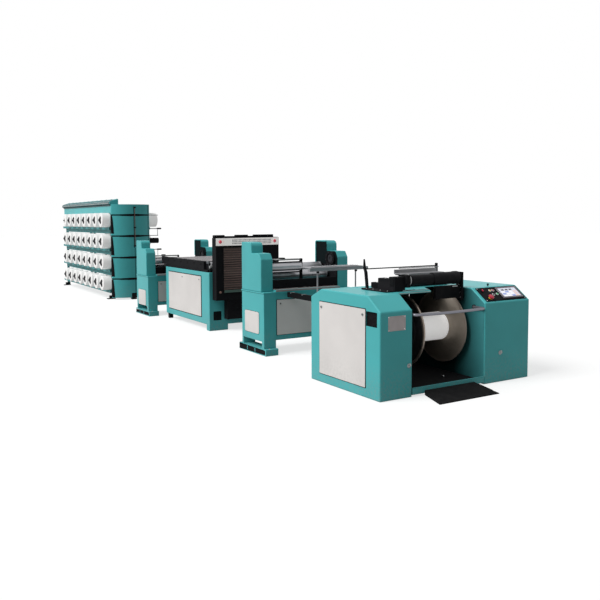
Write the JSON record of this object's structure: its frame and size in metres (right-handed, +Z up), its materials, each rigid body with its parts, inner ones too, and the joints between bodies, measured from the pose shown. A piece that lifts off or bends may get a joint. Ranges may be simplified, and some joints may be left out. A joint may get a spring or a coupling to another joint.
{
  "type": "warping machine",
  "caption": "Sectional yarn warping line: package creel, two draw roller stands, heater bench with a yarn sensor cabinet, and a beam winder with console, guard bar and foot mat.",
  "frame": {"origin": "centre of the bounding box's bottom face, on the floor", "axes": "+X along the yarn's travel from creel to winder, +Y away from the operator's side, +Z up"},
  "size_m": [13.825, 1.97, 2.1],
  "materials": {
    "teal_paint": "semi-gloss powder coat, fine orange peel",
    "cream_paint": "satin powder coat",
    "black_paint": "satin powder coat",
    "black_roller": "ground hard black coating with a steel end ring",
    "turned_steel": "turned, fine circular marks",
    "chrome_plate": "ground and hard chromed",
    "flange_metal": "turned light alloy, circular grain, bright rim",
    "cast_housing": "painted casting",
    "folded_aluminium": "anodised, brushed along its length",
    "plate_metal": "satin plate, brushed along the yarn",
    "motor_paint": "machine enamel",
    "belt_rubber": "matt",
    "mat_rubber": "ribbed, matt",
    "white_yarn": "fine filament wound side by side",
    "peg_plastic": "moulded",
    "slat_plastic": "dark brown slats, grained",
    "screen_glass": "display behind a clear sheet, light bezel",
    "red_button": "moulded",
    "green_button": "moulded"
  },
  "bodies": {
    "line_frame": {"left_cabinet": "teal_paint", "right_cabinet": "teal_paint", "bay_tray": "black_paint", "rear_cover": "teal_paint", "main_motor": "motor_paint", "drive_belt": "belt_rubber", "spindle_housing": "cast_housing", "tail_sleeve": "cast_housing", "roller_arm_left": "black_paint", "roller_arm_right": "black_paint", "comb_rail": "black_paint", "filament_detector": "black_paint", "foot_mat": "mat_rubber", "console_panel": "black_paint", "touch_screen": "screen_glass", "guide_table": "folded_aluminium", "cable_duct": "black_paint", "stand1_housing": "teal_paint", "stand1_hoods": "teal_paint", "stand2_housing": "teal_paint", "stand2_hoods": "teal_paint", "roller_supports": "black_paint", "bench_cabinet": "teal_paint", "bench_rails": "black_paint", "hot_plate": "plate_metal", "sensor_frame": "black_paint", "slat_curtain": "slat_plastic", "display_strip": "cream_paint", "creel_frame": "teal_paint", "creel_covers": "teal_paint", "creel_pegs": "peg_plastic", "yarn_packages": "white_yarn"},
    "beam": {"drive_spindle": "turned_steel", "beam_barrel": "turned_steel", "flange_left": "flange_metal", "flange_right": "flange_metal", "yarn_roll": "white_yarn"},
    "motor_pulley": {"motor_pulley": "turned_steel"},
    "tail_quill": {"tail_quill": "turned_steel"},
    "guide_roller": {"guide_roller": "black_roller"},
    "comb": {"comb_reed": "folded_aluminium"},
    "safety_bar": {"safety_bar": "chrome_plate"},
    "left_door": {"left_door": "cream_paint"},
    "door_lock_rear": {"door_lock_rear": "chrome_plate"},
    "door_lock_front": {"door_lock_front": "chrome_plate"},
    "bench_door": {"bench_door": "cream_paint"},
    "stand1_panel": {"stand1_panel": "cream_paint"},
    "stand2_panel": {"stand2_panel": "cream_paint"},
    "emergency_button": {"emergency_button": "red_button"},
    "start_button": {"start_button": "green_button"},
    "stop_button": {"stop_button": "red_button"},
    "latch_left": {"latch_left": "chrome_plate"},
    "latch_right": {"latch_right": "chrome_plate"},
    "stand1_upper": {"stand1_roller_upper": "chrome_plate"},
    "stand1_rear": {"stand1_roller_rear": "chrome_plate"},
    "stand1_lower": {"stand1_roller_lower": "chrome_plate"},
    "stand2_upper": {"stand2_roller_upper": "chrome_plate"},
    "stand2_rear": {"stand2_roller_rear": "chrome_plate"},
    "stand2_lower": {"stand2_roller_lower": "chrome_plate"},
    "bench_roller": {"bench_roller": "chrome_plate"}
  },
  "joints": [
    {"name": "beam_spin", "type": "hinge", "parent": "line_frame", "child": "beam", "pos_m": [6.0145, 0, 0.531], "axis": [0, 1, 0], "continuous": true},
    {"name": "motor_pulley_spin", "type": "hinge", "parent": "line_frame", "child": "motor_pulley", "pos_m": [5.8775, 0.57, 0.19], "axis": [0, 1, 0], "continuous": true},
    {"name": "quill_retract", "type": "slide", "parent": "line_frame", "child": "tail_quill", "axis": [0, -1, 0], "range_m": [0, 0.1]},
    {"name": "guide_roller_spin", "type": "hinge", "parent": "line_frame", "child": "guide_roller", "pos_m": [6.2675, 0, 1.056], "axis": [0, 1, 0], "continuous": true},
    {"name": "comb_traverse", "type": "slide", "parent": "line_frame", "child": "comb", "axis": [0, 1, 0], "range_m": [-0.015, 0.015]},
    {"name": "safety_bar_tilt", "type": "hinge", "parent": "line_frame", "child": "safety_bar", "pos_m": [6.4375, 0, 0.766], "axis": [0, 1, 0], "range_deg": [0, 30]},
    {"name": "left_door_lift_off", "type": "slide", "parent": "line_frame", "child": "left_door", "axis": [0, -1, 0], "range_m": [0, 0.05]},
    {"name": "rear_lock_turn", "type": "hinge", "parent": "left_door", "child": "door_lock_rear", "pos_m": [5.6455, -0.978, 0.773], "axis": [0, 1, 0], "range_deg": [0, 90]},
    {"name": "front_lock_turn", "type": "hinge", "parent": "left_door", "child": "door_lock_front", "pos_m": [6.3265, -0.978, 0.773], "axis": [0, 1, 0], "range_deg": [0, 90]},
    {"name": "bench_door_lift_off", "type": "slide", "parent": "line_frame", "child": "bench_door", "axis": [0, -1, 0], "range_m": [0, 0.05]},
    {"name": "stand1_panel_lift_off", "type": "slide", "parent": "line_frame", "child": "stand1_panel", "axis": [1, 0, 0], "range_m": [0, 0.05]},
    {"name": "stand2_panel_lift_off", "type": "slide", "parent": "line_frame", "child": "stand2_panel", "axis": [1, 0, 0], "range_m": [0, 0.05]},
    {"name": "emergency_press", "type": "slide", "parent": "line_frame", "child": "emergency_button", "axis": [-0.5937, 0, -0.8047], "range_m": [0, 0.008], "stiffness_N_per_m": 1500, "springref_m": -0.002},
    {"name": "start_press", "type": "slide", "parent": "line_frame", "child": "start_button", "axis": [-0.5937, 0, -0.8047], "range_m": [0, 0.003], "stiffness_N_per_m": 1500, "springref_m": -0.001},
    {"name": "stop_press", "type": "slide", "parent": "line_frame", "child": "stop_button", "axis": [-0.5937, 0, -0.8047], "range_m": [0, 0.003], "stiffness_N_per_m": 1500, "springref_m": -0.001},
    {"name": "left_latch_turn", "type": "hinge", "parent": "line_frame", "child": "latch_left", "pos_m": [6.5775, -0.636, 0.301], "axis": [1, 0, 0], "range_deg": [0, 90]},
    {"name": "right_latch_turn", "type": "hinge", "parent": "line_frame", "child": "latch_right", "pos_m": [6.5775, 0.561, 0.301], "axis": [1, 0, 0], "range_deg": [0, 90]},
    {"name": "stand1_lower_spin", "type": "hinge", "parent": "line_frame", "child": "stand1_lower", "pos_m": [-0.3275, -0.112, 0.825], "axis": [0, 1, 0], "continuous": true},
    {"name": "stand1_rear_spin", "type": "hinge", "parent": "line_frame", "child": "stand1_rear", "pos_m": [-0.4675, -0.112, 0.909], "axis": [0, 1, 0], "continuous": true},
    {"name": "stand1_upper_spin", "type": "hinge", "parent": "line_frame", "child": "stand1_upper", "pos_m": [-0.1875, -0.112, 0.945], "axis": [0, 1, 0], "continuous": true},
    {"name": "stand2_lower_spin", "type": "hinge", "parent": "line_frame", "child": "stand2_lower", "pos_m": [3.8335, -0.15, 0.95], "axis": [0, 1, 0], "continuous": true},
    {"name": "stand2_rear_spin", "type": "hinge", "parent": "line_frame", "child": "stand2_rear", "pos_m": [3.6935, -0.15, 1.034], "axis": [0, 1, 0], "continuous": true},
    {"name": "stand2_upper_spin", "type": "hinge", "parent": "line_frame", "child": "stand2_upper", "pos_m": [3.9735, -0.15, 1.07], "axis": [0, 1, 0], "continuous": true},
    {"name": "bench_roller_spin", "type": "hinge", "parent": "line_frame", "child": "bench_roller", "pos_m": [1.8955, -0.033, 0.967], "axis": [0, 1, 0], "continuous": true}
  ],
  "couplings": [
    {"joint": "motor_pulley_spin", "follows": "beam_spin", "ratio": 2.5},
    {"joint": "stand1_rear_spin", "follows": "stand1_lower_spin", "ratio": -1},
    {"joint": "stand1_upper_spin", "follows": "stand1_lower_spin", "ratio": -1},
    {"joint": "stand2_rear_spin", "follows": "stand2_lower_spin", "ratio": -1},
    {"joint": "stand2_upper_spin", "follows": "stand2_lower_spin", "ratio": -1}
  ]
}
